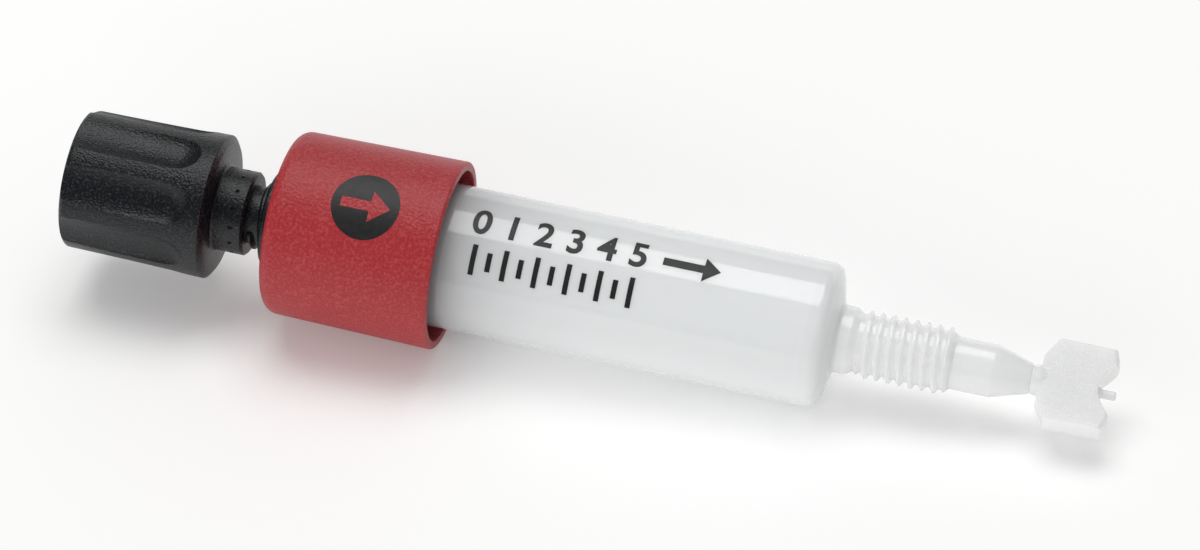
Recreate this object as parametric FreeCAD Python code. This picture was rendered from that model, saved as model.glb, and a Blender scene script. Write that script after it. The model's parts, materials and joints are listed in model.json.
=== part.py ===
import FreeCAD, Part
import math
import os
from FreeCAD import Placement, Rotation, Vector

# A prepacked chromatography column of 1 ml, lying on its side as it comes to rest.
# Every piece is first made along the X axis. A station is a distance along that axis
# from the flat end of the knob, and the outlet is at the far end. All sizes are millimetres.

# Stopper: knob, neck and stem
KNOB_LENGTH = 10.4
KNOB_START_RADIUS = 4.93
KNOB_RIM_RADIUS = 5.09
KNOB_END_BEVEL = 0.3
KNOB_RIM_BEVEL_LENGTH = 0.28
KNOB_RIM_BEVEL_DEPTH = 0.45
FLUTE_COUNT = 8
FLUTE_DEPTH = 0.65
FLUTE_RADIUS = 2.3
FLUTE_TO_RIM = 1.3
FLUTE_TURN = 34.7
NECK_LENGTH = 2.3
NECK_RADIUS = 2.95
STEM_RADIUS = 2.38
STEM_SHOWN = 1.24
STEM_IN_PORT = 6.0

# Top adapter: port boss, flange and plug
BOSS_RADIUS = 3.37
BOSS_HEIGHT = 0.92
FLANGE_THICKNESS = 1.9
PORT_CLEARANCE = 0.06
CHANNEL_RADIUS = 0.4

# Collar
COLLAR_LENGTH = 12.12
COLLAR_WALL = 0.98
COLLAR_END_WALL = 1.4
COLLAR_END_ROUND = 0.95
COLLAR_GRIP_LENGTH = 8.4
COLLAR_MOUTH_STEP = 0.34
COLLAR_FIT = 0.06

# Barrel tube and end wall
BORE_RADIUS = 3.5
BED_LENGTH = 25.0
FRIT_THICKNESS = 0.5
FRIT_FIT = 0.03
PLUG_FIT = 0.05
HEAD_LENGTH = 4.7
HEAD_STEP = 0.57
BARREL_WALL = 1.53
END_WALL = 1.32
END_ROUND = 0.95
END_CONE_HEIGHT = 0.6

# Outlet nozzle: root, relief groove, thread at its full diameter, nose and cone
NOZZLE_RADIUS = 2.35
NOZZLE_ROOT_LENGTH = 0.9
RELIEF_LENGTH = 0.48
RELIEF_DEPTH = 0.32
THREAD_LENGTH = 6.67
THREAD_RUN_IN = 0.5
THREAD_END_BEVEL = 0.5
NOSE_RADIUS = 1.83
NOSE_LENGTH = 2.71
CONE_LENGTH = 2.57
CONE_TIP_RADIUS = 1.07

# Twist-off tab and gate pin
BREAK_LENGTH = 0.1
BREAK_RADIUS = 0.82
TAB_CORE_RADIUS = 1.15
TAB_CORE_FLARE = 0.5
TAB_CORE_BLEND = 1.1
TAB_CORE_START_RADIUS = 0.92
TAB_THICKNESS = 1.8
TAB_WIDTH = 6.2
TAB_ROOT_WIDTH = 3.27
TAB_SHOULDER_LENGTH = 0.85
TAB_SIDE_LENGTH = 4.8
TAB_END_RISE = 0.93
TAB_END_ROUND = 0.4
TAB_ROOT_TO_NOTCH = 4.0
TAB_NOTCH_RADIUS = 1.78
TAB_NOTCH_SLOPE = 53.7
TAB_TURN = 21.0
PIN_RADIUS = 0.31
PIN_LENGTH = 1.25

# Radii that follow from the sizes
BARREL_RADIUS = BORE_RADIUS + BARREL_WALL
HEAD_RADIUS = BARREL_RADIUS + HEAD_STEP
GRIP_RADIUS = HEAD_RADIUS + COLLAR_FIT
COLLAR_RADIUS = GRIP_RADIUS + COLLAR_WALL
PORT_RADIUS = STEM_RADIUS + PORT_CLEARANCE

# Stations that follow from the sizes
NECK_END = KNOB_LENGTH + NECK_LENGTH
BOSS_FACE = NECK_END + STEM_SHOWN
STEM_END = BOSS_FACE + STEM_IN_PORT
PORT_END = STEM_END + PORT_CLEARANCE
COLLAR_FACE = BOSS_FACE + BOSS_HEIGHT
COLLAR_RIM = COLLAR_FACE + COLLAR_LENGTH
FLANGE_START = COLLAR_FACE + COLLAR_END_WALL
BARREL_HEAD = FLANGE_START + FLANGE_THICKNESS
FRIT_START = COLLAR_RIM - FRIT_THICKNESS
BED_START = COLLAR_RIM
BED_END = BED_START + BED_LENGTH
BORE_END = BED_END + FRIT_THICKNESS
SHOULDER = BORE_END + END_WALL
NOZZLE_START = SHOULDER + END_CONE_HEIGHT
RELIEF_START = NOZZLE_START + NOZZLE_ROOT_LENGTH
THREAD_START = RELIEF_START + RELIEF_LENGTH
THREAD_END = THREAD_START + THREAD_LENGTH
NOSE_END = THREAD_END + NOSE_LENGTH
CONE_END = NOSE_END + CONE_LENGTH
TAB_START = CONE_END + BREAK_LENGTH
TAB_PLATE_START = TAB_START + TAB_CORE_FLARE
TAB_NOTCH_BOTTOM = TAB_PLATE_START + TAB_ROOT_TO_NOTCH
TAB_SIDE_END = TAB_PLATE_START + TAB_SIDE_LENGTH

# Turn of the second of the two arcs in a rounded corner, in degrees
ARC_PIECE = 45.0

# Turn that brings the collar's seam from the far side to the top, so that it rests on an even face
COLLAR_SEAM_TURN = -90.0

AXIS = Vector(1, 0, 0)
ORIGIN = Vector(0, 0, 0)


def corner_arcs(before, corner, after, radius):
    """Give the two arcs, end to end, that round a corner. The second one turns an eighth."""
    back = (before - corner).normalize()
    ahead = (after - corner).normalize()
    half_angle = back.getAngle(ahead) / 2
    reach = radius / math.tan(half_angle)
    centre = corner + (back + ahead).normalize() * (radius / math.sin(half_angle))
    first = corner + back * reach - centre
    last = corner + ahead * reach - centre
    turn = math.pi - 2 * half_angle

    def spoke(angle):
        return centre + (first * math.sin(turn - angle) + last * math.sin(angle)) / math.sin(turn)

    split = turn - math.radians(ARC_PIECE)
    return [
        Part.Arc(spoke(0), spoke(split / 2), spoke(split)),
        Part.Arc(spoke(split), spoke((split + turn) / 2), spoke(turn)),
    ]


def outline(points):
    """Make a closed wire from (x, y, round) corners in the XY plane."""
    corners = [Vector(x, y, 0) for x, y, _ in points]
    edges = []
    starts = []
    ends = []
    for index, (_, _, radius) in enumerate(points):
        corner = corners[index]
        if radius > 0:
            after = corners[(index + 1) % len(points)]
            arcs = corner_arcs(corners[index - 1], corner, after, radius)
            edges.extend(arc.toShape() for arc in arcs)
            starts.append(arcs[0].StartPoint)
            ends.append(arcs[-1].EndPoint)
        else:
            starts.append(corner)
            ends.append(corner)
    for index in range(len(points)):
        edges.append(Part.LineSegment(ends[index], starts[(index + 1) % len(points)]).toShape())
    return Part.Wire(Part.__sortEdges__(edges))


def turned(points):
    """Turn a profile of (station, radius, round) corners about the axis."""
    return Part.Face(outline(points)).revolve(ORIGIN, AXIS, 360)


def about_axis(shape, degrees):
    """Turn a shape about the axis, from the viewer's side upwards."""
    turned_shape = shape.copy()
    turned_shape.rotate(ORIGIN, AXIS, -degrees)
    return turned_shape


def flute_cutter():
    """Make a round-ended bar that cuts one flute, on the side that faces -Y."""
    lean = math.atan2(KNOB_RIM_RADIUS - KNOB_START_RADIUS, KNOB_LENGTH)
    direction = Vector(math.cos(lean), -math.sin(lean), 0)
    chord = math.sqrt(FLUTE_RADIUS ** 2 - (FLUTE_RADIUS - FLUTE_DEPTH) ** 2)
    bar_end = KNOB_LENGTH - FLUTE_TO_RIM - chord
    start = Vector(0, -(KNOB_START_RADIUS - FLUTE_DEPTH + FLUTE_RADIUS), 0) - direction * FLUTE_RADIUS
    length = bar_end + FLUTE_RADIUS
    bar = Part.makeCylinder(FLUTE_RADIUS, length, start, direction)
    ball = Part.makeSphere(FLUTE_RADIUS, start + direction * length)
    return bar.fuse(ball)


def inlet_stopper():
    """Make the fluted knob, the neck and the stem as one moulding."""
    body = turned([
        (0, 0, 0),
        (0, KNOB_START_RADIUS - KNOB_END_BEVEL, 0),
        (KNOB_END_BEVEL, KNOB_START_RADIUS, 0),
        (KNOB_LENGTH - KNOB_RIM_BEVEL_LENGTH, KNOB_RIM_RADIUS, 0),
        (KNOB_LENGTH, KNOB_RIM_RADIUS - KNOB_RIM_BEVEL_DEPTH, 0),
        (KNOB_LENGTH, NECK_RADIUS, 0),
        (NECK_END, NECK_RADIUS, 0),
        (NECK_END, STEM_RADIUS, 0),
        (STEM_END, STEM_RADIUS, 0),
        (STEM_END, 0, 0),
    ])
    cutter = flute_cutter()
    step = 360 / FLUTE_COUNT
    cutters = [about_axis(cutter, FLUTE_TURN + step * index) for index in range(FLUTE_COUNT)]
    return body.cut(cutters)


def top_adapter():
    """Make the inlet adapter: port boss, flange under the collar's end wall, and plug in the bore."""
    return turned([
        (BOSS_FACE, PORT_RADIUS, 0),
        (BOSS_FACE, BOSS_RADIUS, 0),
        (FLANGE_START, BOSS_RADIUS, 0),
        (FLANGE_START, HEAD_RADIUS, 0),
        (BARREL_HEAD, HEAD_RADIUS, 0),
        (BARREL_HEAD, BORE_RADIUS - PLUG_FIT, 0),
        (FRIT_START, BORE_RADIUS - PLUG_FIT, 0),
        (FRIT_START, CHANNEL_RADIUS, 0),
        (PORT_END, CHANNEL_RADIUS, 0),
        (PORT_END, PORT_RADIUS, 0),
    ])


def collar():
    """Make the collar: end wall round the boss, close bore over the barrel's head, wider mouth."""
    grip_end = FLANGE_START + COLLAR_GRIP_LENGTH
    mouth_radius = GRIP_RADIUS + COLLAR_MOUTH_STEP
    hole_radius = BOSS_RADIUS + COLLAR_FIT
    ring = turned([
        (COLLAR_FACE, hole_radius, 0),
        (COLLAR_FACE, COLLAR_RADIUS, COLLAR_END_ROUND),
        (COLLAR_RIM, COLLAR_RADIUS, 0),
        (COLLAR_RIM, mouth_radius, 0),
        (grip_end, mouth_radius, 0),
        (grip_end, GRIP_RADIUS, 0),
        (FLANGE_START, GRIP_RADIUS, 0),
        (FLANGE_START, hole_radius, 0),
    ])
    return about_axis(ring, COLLAR_SEAM_TURN)


def disc(start, thickness, radius):
    """Make a plain disc or plug across the bore."""
    return Part.makeCylinder(radius, thickness, Vector(start, 0, 0), AXIS)


def notch_cutter():
    """Make the bar that cuts the notch: sloping sides that meet in a round bottom."""
    slope = math.radians(TAB_NOTCH_SLOPE)
    bottom_to_corner = TAB_NOTCH_RADIUS * (1 / math.sin(slope) - 1)
    corner = TAB_NOTCH_BOTTOM - bottom_to_corner
    mouth = corner + TAB_WIDTH
    side = TAB_WIDTH * math.tan(slope)
    section = outline([
        (corner, 0, TAB_NOTCH_RADIUS),
        (mouth, side, 0),
        (mouth, -side, 0),
    ])
    notch = Part.Face(section).extrude(Vector(0, 0, 2 * TAB_THICKNESS))
    notch.translate(Vector(0, 0, -TAB_THICKNESS))
    return notch


def tab_plate():
    """Make the flat of the tab, level, with its sloping shoulders, risen end and notch."""
    half = TAB_WIDTH / 2
    root_half = TAB_ROOT_WIDTH / 2
    shoulder_end = TAB_PLATE_START + TAB_SHOULDER_LENGTH
    plate = Part.Face(outline([
        (TAB_PLATE_START, -root_half, 0),
        (TAB_PLATE_START, root_half, 0),
        (shoulder_end, half, 0),
        (TAB_SIDE_END, half, 0),
        (TAB_SIDE_END + TAB_END_RISE, 0, 0),
        (TAB_SIDE_END, -half, 0),
        (shoulder_end, -half, 0),
    ])).extrude(Vector(0, 0, TAB_THICKNESS))
    plate.translate(Vector(0, 0, -TAB_THICKNESS / 2))
    level_edges = [edge for edge in plate.Edges if edge.BoundBox.ZLength < TAB_THICKNESS / 2]
    end_edges = [edge for edge in level_edges if edge.BoundBox.XMax > TAB_SIDE_END + TAB_END_RISE / 2]
    plate = plate.makeFillet(TAB_END_ROUND, end_edges)
    return plate.cut(notch_cutter())


def twist_off_tab():
    """Make the tab with its round core and the gate pin in its notch, turned as it was moulded."""
    core = turned([
        (TAB_START, 0, 0),
        (TAB_START, TAB_CORE_START_RADIUS, 0),
        (TAB_PLATE_START, TAB_CORE_RADIUS, 0),
        (TAB_PLATE_START + TAB_CORE_BLEND, TAB_THICKNESS / 2 - PIN_RADIUS, 0),
        (TAB_PLATE_START + TAB_CORE_BLEND, 0, 0),
    ])
    pin = disc(TAB_NOTCH_BOTTOM - PIN_RADIUS, PIN_LENGTH + PIN_RADIUS, PIN_RADIUS)
    tab = tab_plate().fuse([core, pin])
    return about_axis(tab, -TAB_TURN)


def barrel():
    """Make the tube, end wall, nozzle, nose and tab as one moulding."""
    tube = turned([
        (BARREL_HEAD, BORE_RADIUS, 0),
        (BARREL_HEAD, HEAD_RADIUS, 0),
        (BARREL_HEAD + HEAD_LENGTH, HEAD_RADIUS, 0),
        (BARREL_HEAD + HEAD_LENGTH, BARREL_RADIUS, 0),
        (SHOULDER, BARREL_RADIUS, END_ROUND),
        (NOZZLE_START, NOZZLE_RADIUS, 0),
        (RELIEF_START, NOZZLE_RADIUS, 0),
        (THREAD_START, NOZZLE_RADIUS - RELIEF_DEPTH, 0),
        (THREAD_START + THREAD_RUN_IN, NOZZLE_RADIUS, 0),
        (THREAD_END - THREAD_END_BEVEL, NOZZLE_RADIUS, 0),
        (THREAD_END, NOSE_RADIUS, 0),
        (NOSE_END, NOSE_RADIUS, 0),
        (CONE_END, CONE_TIP_RADIUS, 0),
        (CONE_END + BREAK_LENGTH / 2, BREAK_RADIUS, 0),
        (TAB_START, TAB_CORE_START_RADIUS, 0),
        (TAB_PLATE_START, TAB_CORE_START_RADIUS, 0),
        (TAB_PLATE_START, 0, 0),
        (CONE_END - CHANNEL_RADIUS, 0, 0),
        (CONE_END - CHANNEL_RADIUS, CHANNEL_RADIUS, 0),
        (BORE_END, CHANNEL_RADIUS, 0),
        (BORE_END, BORE_RADIUS, 0),
    ])
    return tube.fuse(twist_off_tab()).removeSplitter()


def rest_tilt():
    """Give the angle at which the collar's rim and the barrel's shoulder both touch a flat surface."""
    run = (SHOULDER - END_ROUND) - COLLAR_RIM
    drop = COLLAR_RADIUS - (BARREL_RADIUS - END_ROUND)
    reach = math.hypot(run, drop)
    return math.atan2(drop, run) - math.asin(END_ROUND / reach)


def laid_down(shapes):
    """Tilt every piece to the rest angle and put the part on the floor, centred over the origin."""
    tilt = rest_tilt()
    lay = Placement(ORIGIN, Rotation(Vector(0, 1, 0), math.degrees(tilt)))
    tilted = {name: shape.transformed(lay.toMatrix()) for name, shape in shapes.items()}
    box = Part.makeCompound(list(tilted.values())).optimalBoundingBox(True, False)
    shift = Vector(-(box.XMin + box.XMax) / 2, -(box.YMin + box.YMax) / 2, -box.ZMin)
    for shape in tilted.values():
        shape.translate(shift)
    print("tilt", round(math.degrees(tilt), 4), "shift", [round(value, 4) for value in shift])
    return tilted


def main():
    shapes = {
        "inlet_stopper": inlet_stopper(),
        "top_adapter": top_adapter(),
        "collar": collar(),
        "barrel": barrel(),
        "top_frit": disc(FRIT_START, FRIT_THICKNESS, BORE_RADIUS - FRIT_FIT),
        "packed_bed": disc(BED_START, BED_LENGTH, BORE_RADIUS - FRIT_FIT),
        "bottom_frit": disc(BED_END, FRIT_THICKNESS, BORE_RADIUS - FRIT_FIT),
    }
    os.makedirs("parts", exist_ok=True)
    for name, shape in laid_down(shapes).items():
        solid = shape.Solids[0]
        solid.exportStep("parts/" + name + ".step")
        print(name, "solids", len(shape.Solids), "valid", shape.isValid(), "volume", round(shape.Volume, 3))


main()
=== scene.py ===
import json
import math
from types import SimpleNamespace

import bpy
from bpy.props import FloatProperty, FloatVectorProperty, IntProperty, PointerProperty
from mathutils import Matrix, Vector


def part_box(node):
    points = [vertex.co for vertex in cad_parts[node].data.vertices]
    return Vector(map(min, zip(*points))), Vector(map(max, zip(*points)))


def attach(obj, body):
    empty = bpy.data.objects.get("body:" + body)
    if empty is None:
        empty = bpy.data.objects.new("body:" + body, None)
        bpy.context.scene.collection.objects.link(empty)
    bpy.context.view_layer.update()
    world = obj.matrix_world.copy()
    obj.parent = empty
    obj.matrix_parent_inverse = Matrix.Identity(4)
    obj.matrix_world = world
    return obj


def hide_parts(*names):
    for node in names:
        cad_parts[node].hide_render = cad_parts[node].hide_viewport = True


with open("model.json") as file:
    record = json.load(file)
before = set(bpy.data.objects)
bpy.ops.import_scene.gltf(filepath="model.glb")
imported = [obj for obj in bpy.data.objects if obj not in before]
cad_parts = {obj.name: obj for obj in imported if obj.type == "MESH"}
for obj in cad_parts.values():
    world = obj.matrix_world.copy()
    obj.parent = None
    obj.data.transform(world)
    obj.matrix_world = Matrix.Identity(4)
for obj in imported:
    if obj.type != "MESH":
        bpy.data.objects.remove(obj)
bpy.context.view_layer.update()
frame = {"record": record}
BARREL_MOUNT = next(mount for mount in frame["record"]["mounts"] if mount["name"] == "barrel")

bl_info = {
    "name": "Prepacked chromatography column",
    "version": (1, 0, 0),
    "blender": (4, 5, 0),
    "location": "3D View > Sidebar > Column",
    "description": "Dresses the packed CAD model of a 1 ml prepacked column and sets its studio",
    "category": "Object",
}

# Every piece is modelled along the X axis, where a station is the distance from the knob's flat end,
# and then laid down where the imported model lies. Angles about the axis start at the viewer's side
# and go up. Lengths are metres.
MILLIMETRE = 0.001
MERGE_DISTANCE = 0.0008 * MILLIMETRE
SMOOTH_ANGLE = math.radians(32)
PLASTIC_IOR = 1.49
TEXT_SIZE_TO_DIGIT = 1.4

# How finely round shapes are divided.
ROUND_SEGMENTS = 7
EDGE_SEGMENTS = 5
COLLAR_STEPS = 192
TURN_STEPS = 144
MIDDLE_STEPS = 96
COARSE_STEPS = 64
THREAD_STEPS = 56
PIN_STEPS = 32
PIT_STEPS = 16


def size(label, millimetres, description):
    """Makes a length property whose default is given in millimetres."""
    return FloatProperty(name=label, description=description, default=millimetres * MILLIMETRE,
                         min=0.0, precision=5, unit="LENGTH")


def angle(label, degrees, description):
    """Makes an angle property whose default is given in degrees."""
    return FloatProperty(name=label, description=description, default=math.radians(degrees),
                         unit="ROTATION")


def number(label, default, description, unit="NONE"):
    """Makes a property of a number, in a unit where it has one."""
    return FloatProperty(name=label, description=description, default=default, min=0.0, unit=unit)


def count(label, default, description):
    """Makes a property that says how many there are."""
    return IntProperty(name=label, description=description, default=default, min=1)


def share(label, default, description):
    """Makes a property between nothing and one."""
    return FloatProperty(name=label, description=description, default=default, min=0.0, max=1.0,
                         subtype="FACTOR")


def colour(label, default, description):
    """Makes a colour property with linear red, green and blue."""
    return FloatVectorProperty(name=label, description=description, default=default, size=3,
                               min=0.0, max=1.0, subtype="COLOR")


class StopperSizes(bpy.types.PropertyGroup):
    """Sizes of the fluted stopper."""
    knob_length: size("Knob length", 10.4, "Length of the fluted knob")
    knob_start_radius: size("Knob start radius", 4.93, "Radius at the flat end")
    knob_rim_radius: size("Knob rim radius", 5.09, "Radius at the rim, next to the neck")
    knob_end_round: size("Knob end round", 0.42, "Round of the flat end's edge")
    rim_bevel_length: size("Rim bevel length", 0.28, "Length of the bevel at the rim")
    rim_bevel_depth: size("Rim bevel depth", 0.45, "Depth of the bevel at the rim")
    flute_count: count("Flutes", 8, "Number of grip flutes")
    flute_depth: size("Flute depth", 0.65, "Depth of a flute in the knob's side")
    flute_start_height: number("Flute start height", 0.8, "Height of the cutter's open end, in radii")
    flute_start_width: number("Flute start width", 1.6, "Width of the cutter's open end, in radii")
    flute_radius: size("Flute radius", 2.3, "Radius of a flute's hollow")
    flute_to_rim: size("Flute to rim", 1.3, "Full round band between a flute's end and the rim")
    flute_turn: angle("Flute turn", 34.7, "Angle of the first flute about the axis")
    neck_length: size("Neck length", 2.3, "Length of the neck")
    neck_radius: size("Neck radius", 2.95, "Radius of the neck")
    neck_root_round: size("Neck root round", 0.2, "Hollow round where the neck leaves the knob")
    neck_bevel: size("Neck bevel", 0.15, "Bevel at the neck's end")
    pit_count: count("Pits", 14, "Number of small pits round the neck")
    pit_radius: size("Pit radius", 0.15, "Radius of a pit in the neck")
    pit_turn: angle("Pit turn", 16.3, "Angle of the first pit about the axis")
    pit_to_end: size("Pit to neck end", 0.85, "Distance of the pits from the neck's end")
    stem_radius: size("Stem radius", 2.38, "Radius over the stem's thread")
    stem_root_radius: size("Stem root radius", 2.05, "Radius at the root of the stem's thread")
    stem_shown: size("Stem shown", 1.24, "Length of stem between neck and port boss")
    stem_in_port: size("Stem in port", 6.0, "Length of stem inside the port")
    stem_thread_start: size("Stem thread start", 0.35, "Distance of the stem's thread from the neck")


class CollarSizes(bpy.types.PropertyGroup):
    """Sizes of the collar and of the adapter's boss that stands out of it."""
    length: size("Collar length", 12.12, "Length of the collar")
    start_radius: size("Start radius", 6.44, "Radius at the end wall")
    rim_radius: size("Rim radius", 6.63, "Radius at the open rim")
    end_wall: size("End wall", 1.4, "Thickness of the end wall")
    end_round: size("End round", 0.95, "Round of the end wall's edge")
    rim_round: size("Rim round", 0.2, "Round of the rim's outer edge")
    bore_radius: size("Bore radius", 5.66, "Radius of the close bore over the barrel's head")
    grip_length: size("Grip length", 8.4, "Length of the close bore")
    mouth_radius: size("Mouth radius", 6.0, "Radius of the wider mouth")
    boss_radius: size("Boss radius", 3.37, "Radius of the port boss")
    boss_height: size("Boss height", 0.92, "Height of the port boss over the end wall")
    boss_round: size("Boss round", 0.3, "Round of the boss's edge")
    port_radius: size("Port radius", 2.44, "Radius of the inlet port")
    fit: size("Fit", 0.06, "Room between boss and collar")


class BarrelSizes(bpy.types.PropertyGroup):
    """Sizes of the tube, its end wall and what it holds."""
    radius: size("Barrel radius", 5.03, "Radius of the tube")
    bore_radius: size("Bore radius", 3.5, "Radius of the bore")
    head_radius: size("Head radius", 5.6, "Radius of the head inside the collar")
    head_length: size("Head length", 4.7, "Length of the head inside the collar")
    head_gap: size("Flange", 1.9, "Thickness of the adapter's flange over the head")
    edge_round: size("Head edge round", 0.25, "Round of the head's edges")
    bed_length: size("Bed length", 25.0, "Length of the packed bed")
    frit_thickness: size("Frit thickness", 0.5, "Thickness of a frit")
    frit_fit: size("Frit fit", 0.03, "Room between the bed's pieces and the bore")
    plug_fit: size("Plug fit", 0.05, "Room between the adapter's plug and the bore")
    end_wall: size("End wall", 1.32, "Thickness of the end wall")
    end_round: size("End round", 0.95, "Round of the tube's shoulder")
    end_cone: size("End cone", 0.6, "Height of the cone from shoulder to nozzle")
    channel_radius: size("Channel radius", 0.4, "Radius of the outlet channel")


class OutletSizes(bpy.types.PropertyGroup):
    """Sizes of the nozzle, its thread, the nose and the cone."""
    radius: size("Nozzle radius", 2.35, "Radius over the thread's crests")
    root_length: size("Root length", 0.9, "Plain length of the nozzle before the thread")
    fillet: size("Fillet", 0.25, "Hollow round where the nozzle leaves the end wall")
    relief_length: size("Relief length", 0.48, "Length of the relief before the thread")
    thread_root_radius: size("Thread root radius", 2.03, "Radius at the thread's root")
    thread_pitch: size("Thread pitch", 0.794, "Advance of the thread in one turn")
    thread_length: size("Thread length", 6.67, "Length of the thread")
    thread_crest: size("Thread crest", 0.14, "Width of the thread's crest")
    thread_foot: size("Thread foot", 0.56, "Width of the thread's foot")
    thread_run_in: size("Thread run-in", 0.5, "Length over which the thread rises")
    thread_end_bevel: size("Thread end bevel", 0.5, "Length of the bevel at the thread's end")
    thread_sink: size("Thread sink", 0.12, "Depth of the ridge under the thread's root")
    nose_radius: size("Nose radius", 1.83, "Radius of the smooth nose")
    nose_length: size("Nose length", 2.71, "Length of the smooth nose")
    nose_round: size("Nose round", 0.5, "Soft change from nose to cone")
    cone_length: size("Cone length", 2.57, "Length of the cone")
    cone_tip_radius: size("Cone tip radius", 1.07, "Radius of the cone's tip")


class TabSizes(bpy.types.PropertyGroup):
    """Sizes of the twist-off tab and the gate pin in its notch."""
    break_length: size("Break length", 0.1, "Length of the thin neck that breaks")
    break_radius: size("Break radius", 0.94, "Radius of the thin neck that breaks")
    core_start_radius: size("Core start radius", 1.0, "Radius of the tab's core at the break")
    core_radius: size("Core radius", 1.15, "Radius of the tab's core")
    core_flare: size("Core flare", 0.5, "Length over which the core widens")
    core_round: size("Core round", 1.0, "Round between the core's flare and its blend")
    core_blend: size("Core blend", 1.1, "Length over which the core sinks into the flat")
    thickness: size("Tab thickness", 1.8, "Thickness of the tab")
    width: size("Tab width", 6.2, "Width of the tab")
    root_width: size("Tab root width", 3.27, "Width of the tab at its root")
    shoulder_length: size("Shoulder length", 0.85, "Length of the sloping shoulders")
    side_length: size("Side length", 4.8, "Length of the tab's sides, with the shoulders")
    end_rise: size("End rise", 0.93, "Rise of the end's two lines towards the middle")
    end_round: size("End round", 0.4, "Round of the end's edges")
    edge_round: size("Edge round", 0.08, "Round of the other edges")
    root_to_notch: size("Root to notch", 4.0, "Distance from the tab's root to the notch's bottom")
    notch_radius: size("Notch radius", 1.78, "Radius of the notch's bottom")
    notch_slope: angle("Notch slope", 53.7, "Angle between the axis and the notch's sides")
    prong_round: size("Prong round", 0.42, "Round of the corners at the notch's mouth")
    turn: angle("Tab turn", 21.0, "Lean of the tab's face towards the viewer")
    pin_radius: size("Pin radius", 0.31, "Radius of the gate pin")
    pin_length: size("Pin length", 1.25, "Length of the gate pin")


class PrintSizes(bpy.types.PropertyGroup):
    """Sizes and places of the printed marks."""
    ink_thickness: size("Ink thickness", 0.012, "Thickness of the ink")
    mark_depth: size("Mark depth", 1.6, "Depth of the blocks that the marks are cut from")
    arrow_shaft: share("Arrow shaft", 0.16, "Half width of an arrow's shaft, in widths of its head")
    arrow_head: share("Arrow head", 0.62, "Length of an arrow's head, in widths of its head")
    disc_radius: size("Disc radius", 2.38, "Radius of the printed disc on the collar")
    disc_station: size("Disc station", 21.6, "Station of the disc's centre")
    disc_turn: angle("Disc turn", 60.5, "Angle of the disc's centre about the axis")
    arrow_length: size("Arrow length", 3.5, "Length of the flow arrow in the disc")
    arrow_width: size("Arrow width", 2.3, "Width of its head")
    scale_start: size("Scale start", 29.4, "Station of the scale's first line")
    scale_step: size("Scale step", 1.1, "Distance between the lines of the scale")
    scale_turn: angle("Scale turn", 42.0, "Angle of the middle of the scale's lines about the axis")
    tick_width: size("Tick width", 0.36, "Width of a line of the scale")
    tick_length: size("Tick length", 1.3, "Length of a short line of the scale")
    long_tick_length: size("Long tick length", 2.1, "Length of a line that has a number")
    number_count: count("Numbers", 6, "How many numbers the scale has, from nothing up")
    number_turn: angle("Number turn", 73.0, "Angle of the numbers about the axis")
    number_height: size("Number height", 1.9, "Height of the numbers")
    number_weight: size("Number weight", 0.06, "Extra width of the numbers' strokes on each side")
    flow_arrow_length: size("Flow arrow length", 4.0, "Length of the flow arrow on the barrel")
    flow_arrow_width: size("Flow arrow width", 1.9, "Width of its head")
    flow_arrow_station: size("Flow arrow station", 44.1, "Station of its middle")


class Colours(bpy.types.PropertyGroup):
    """Colours of the mouldings, the bed, the ink and the floor."""
    black: colour("Black", (0.004, 0.0052, 0.0068), "Stopper and adapter")
    red: colour("Red", (0.44, 0.019, 0.026), "Collar")
    tube: colour("Tube", (0.87, 0.885, 0.89), "Milky plastic of the tube")
    natural: colour("Natural", (0.885, 0.895, 0.89), "Plastic of nozzle and tab")
    bed: colour("Bed", (0.93, 0.94, 0.95), "Packed bed")
    frit: colour("Frit", (0.80, 0.81, 0.82), "Frits")
    ink: colour("Ink", (0.012, 0.012, 0.013), "Printed marks")
    floor: colour("Floor", (0.985, 0.985, 0.98), "Studio floor")


class StageSettings(bpy.types.PropertyGroup):
    """Camera and studio."""
    camera_place: FloatVectorProperty(name="Camera place", description="Where the camera stands", size=3,
                                      default=(0.057695, -0.22376, 0.19869), precision=5, unit="LENGTH")
    azimuth: angle("Azimuth", 14.235, "Angle of the camera's view round the object")
    elevation: angle("Elevation", 39.69, "Angle of the camera above the floor")
    lens: number("Lens", 131.28, "Focal length in millimetres", "CAMERA")
    floor_width: size("Floor width", 3000.0, "Width of the floor")
    sky: share("Sky", 0.38, "Brightness of the surrounding light")
    room: share("Room", 0.16, "Brightness of the room as gloss shows it")
    softbox_power: number("Softbox power", 1.25, "Power of the lamp overhead", "POWER")
    back_power: number("Back power", 0.7, "Power of the low lamp behind", "POWER")
    fill_power: number("Fill power", 1.85, "Power of the front fill, which gloss doesn't show", "POWER")
    glow: share("Floor glow", 0.1, "Brightness that the camera sees on the floor besides its light")


def sizes():
    """Gives all the property groups of the scene."""
    return bpy.context.scene.column_sizes


class ColumnSettings(bpy.types.PropertyGroup):
    """All sizes, colours and studio settings of the column."""
    stopper: PointerProperty(type=StopperSizes)
    collar: PointerProperty(type=CollarSizes)
    barrel: PointerProperty(type=BarrelSizes)
    outlet: PointerProperty(type=OutletSizes)
    tab: PointerProperty(type=TabSizes)
    prints: PointerProperty(type=PrintSizes)
    colours: PointerProperty(type=Colours)
    stage: PointerProperty(type=StageSettings)


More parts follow.
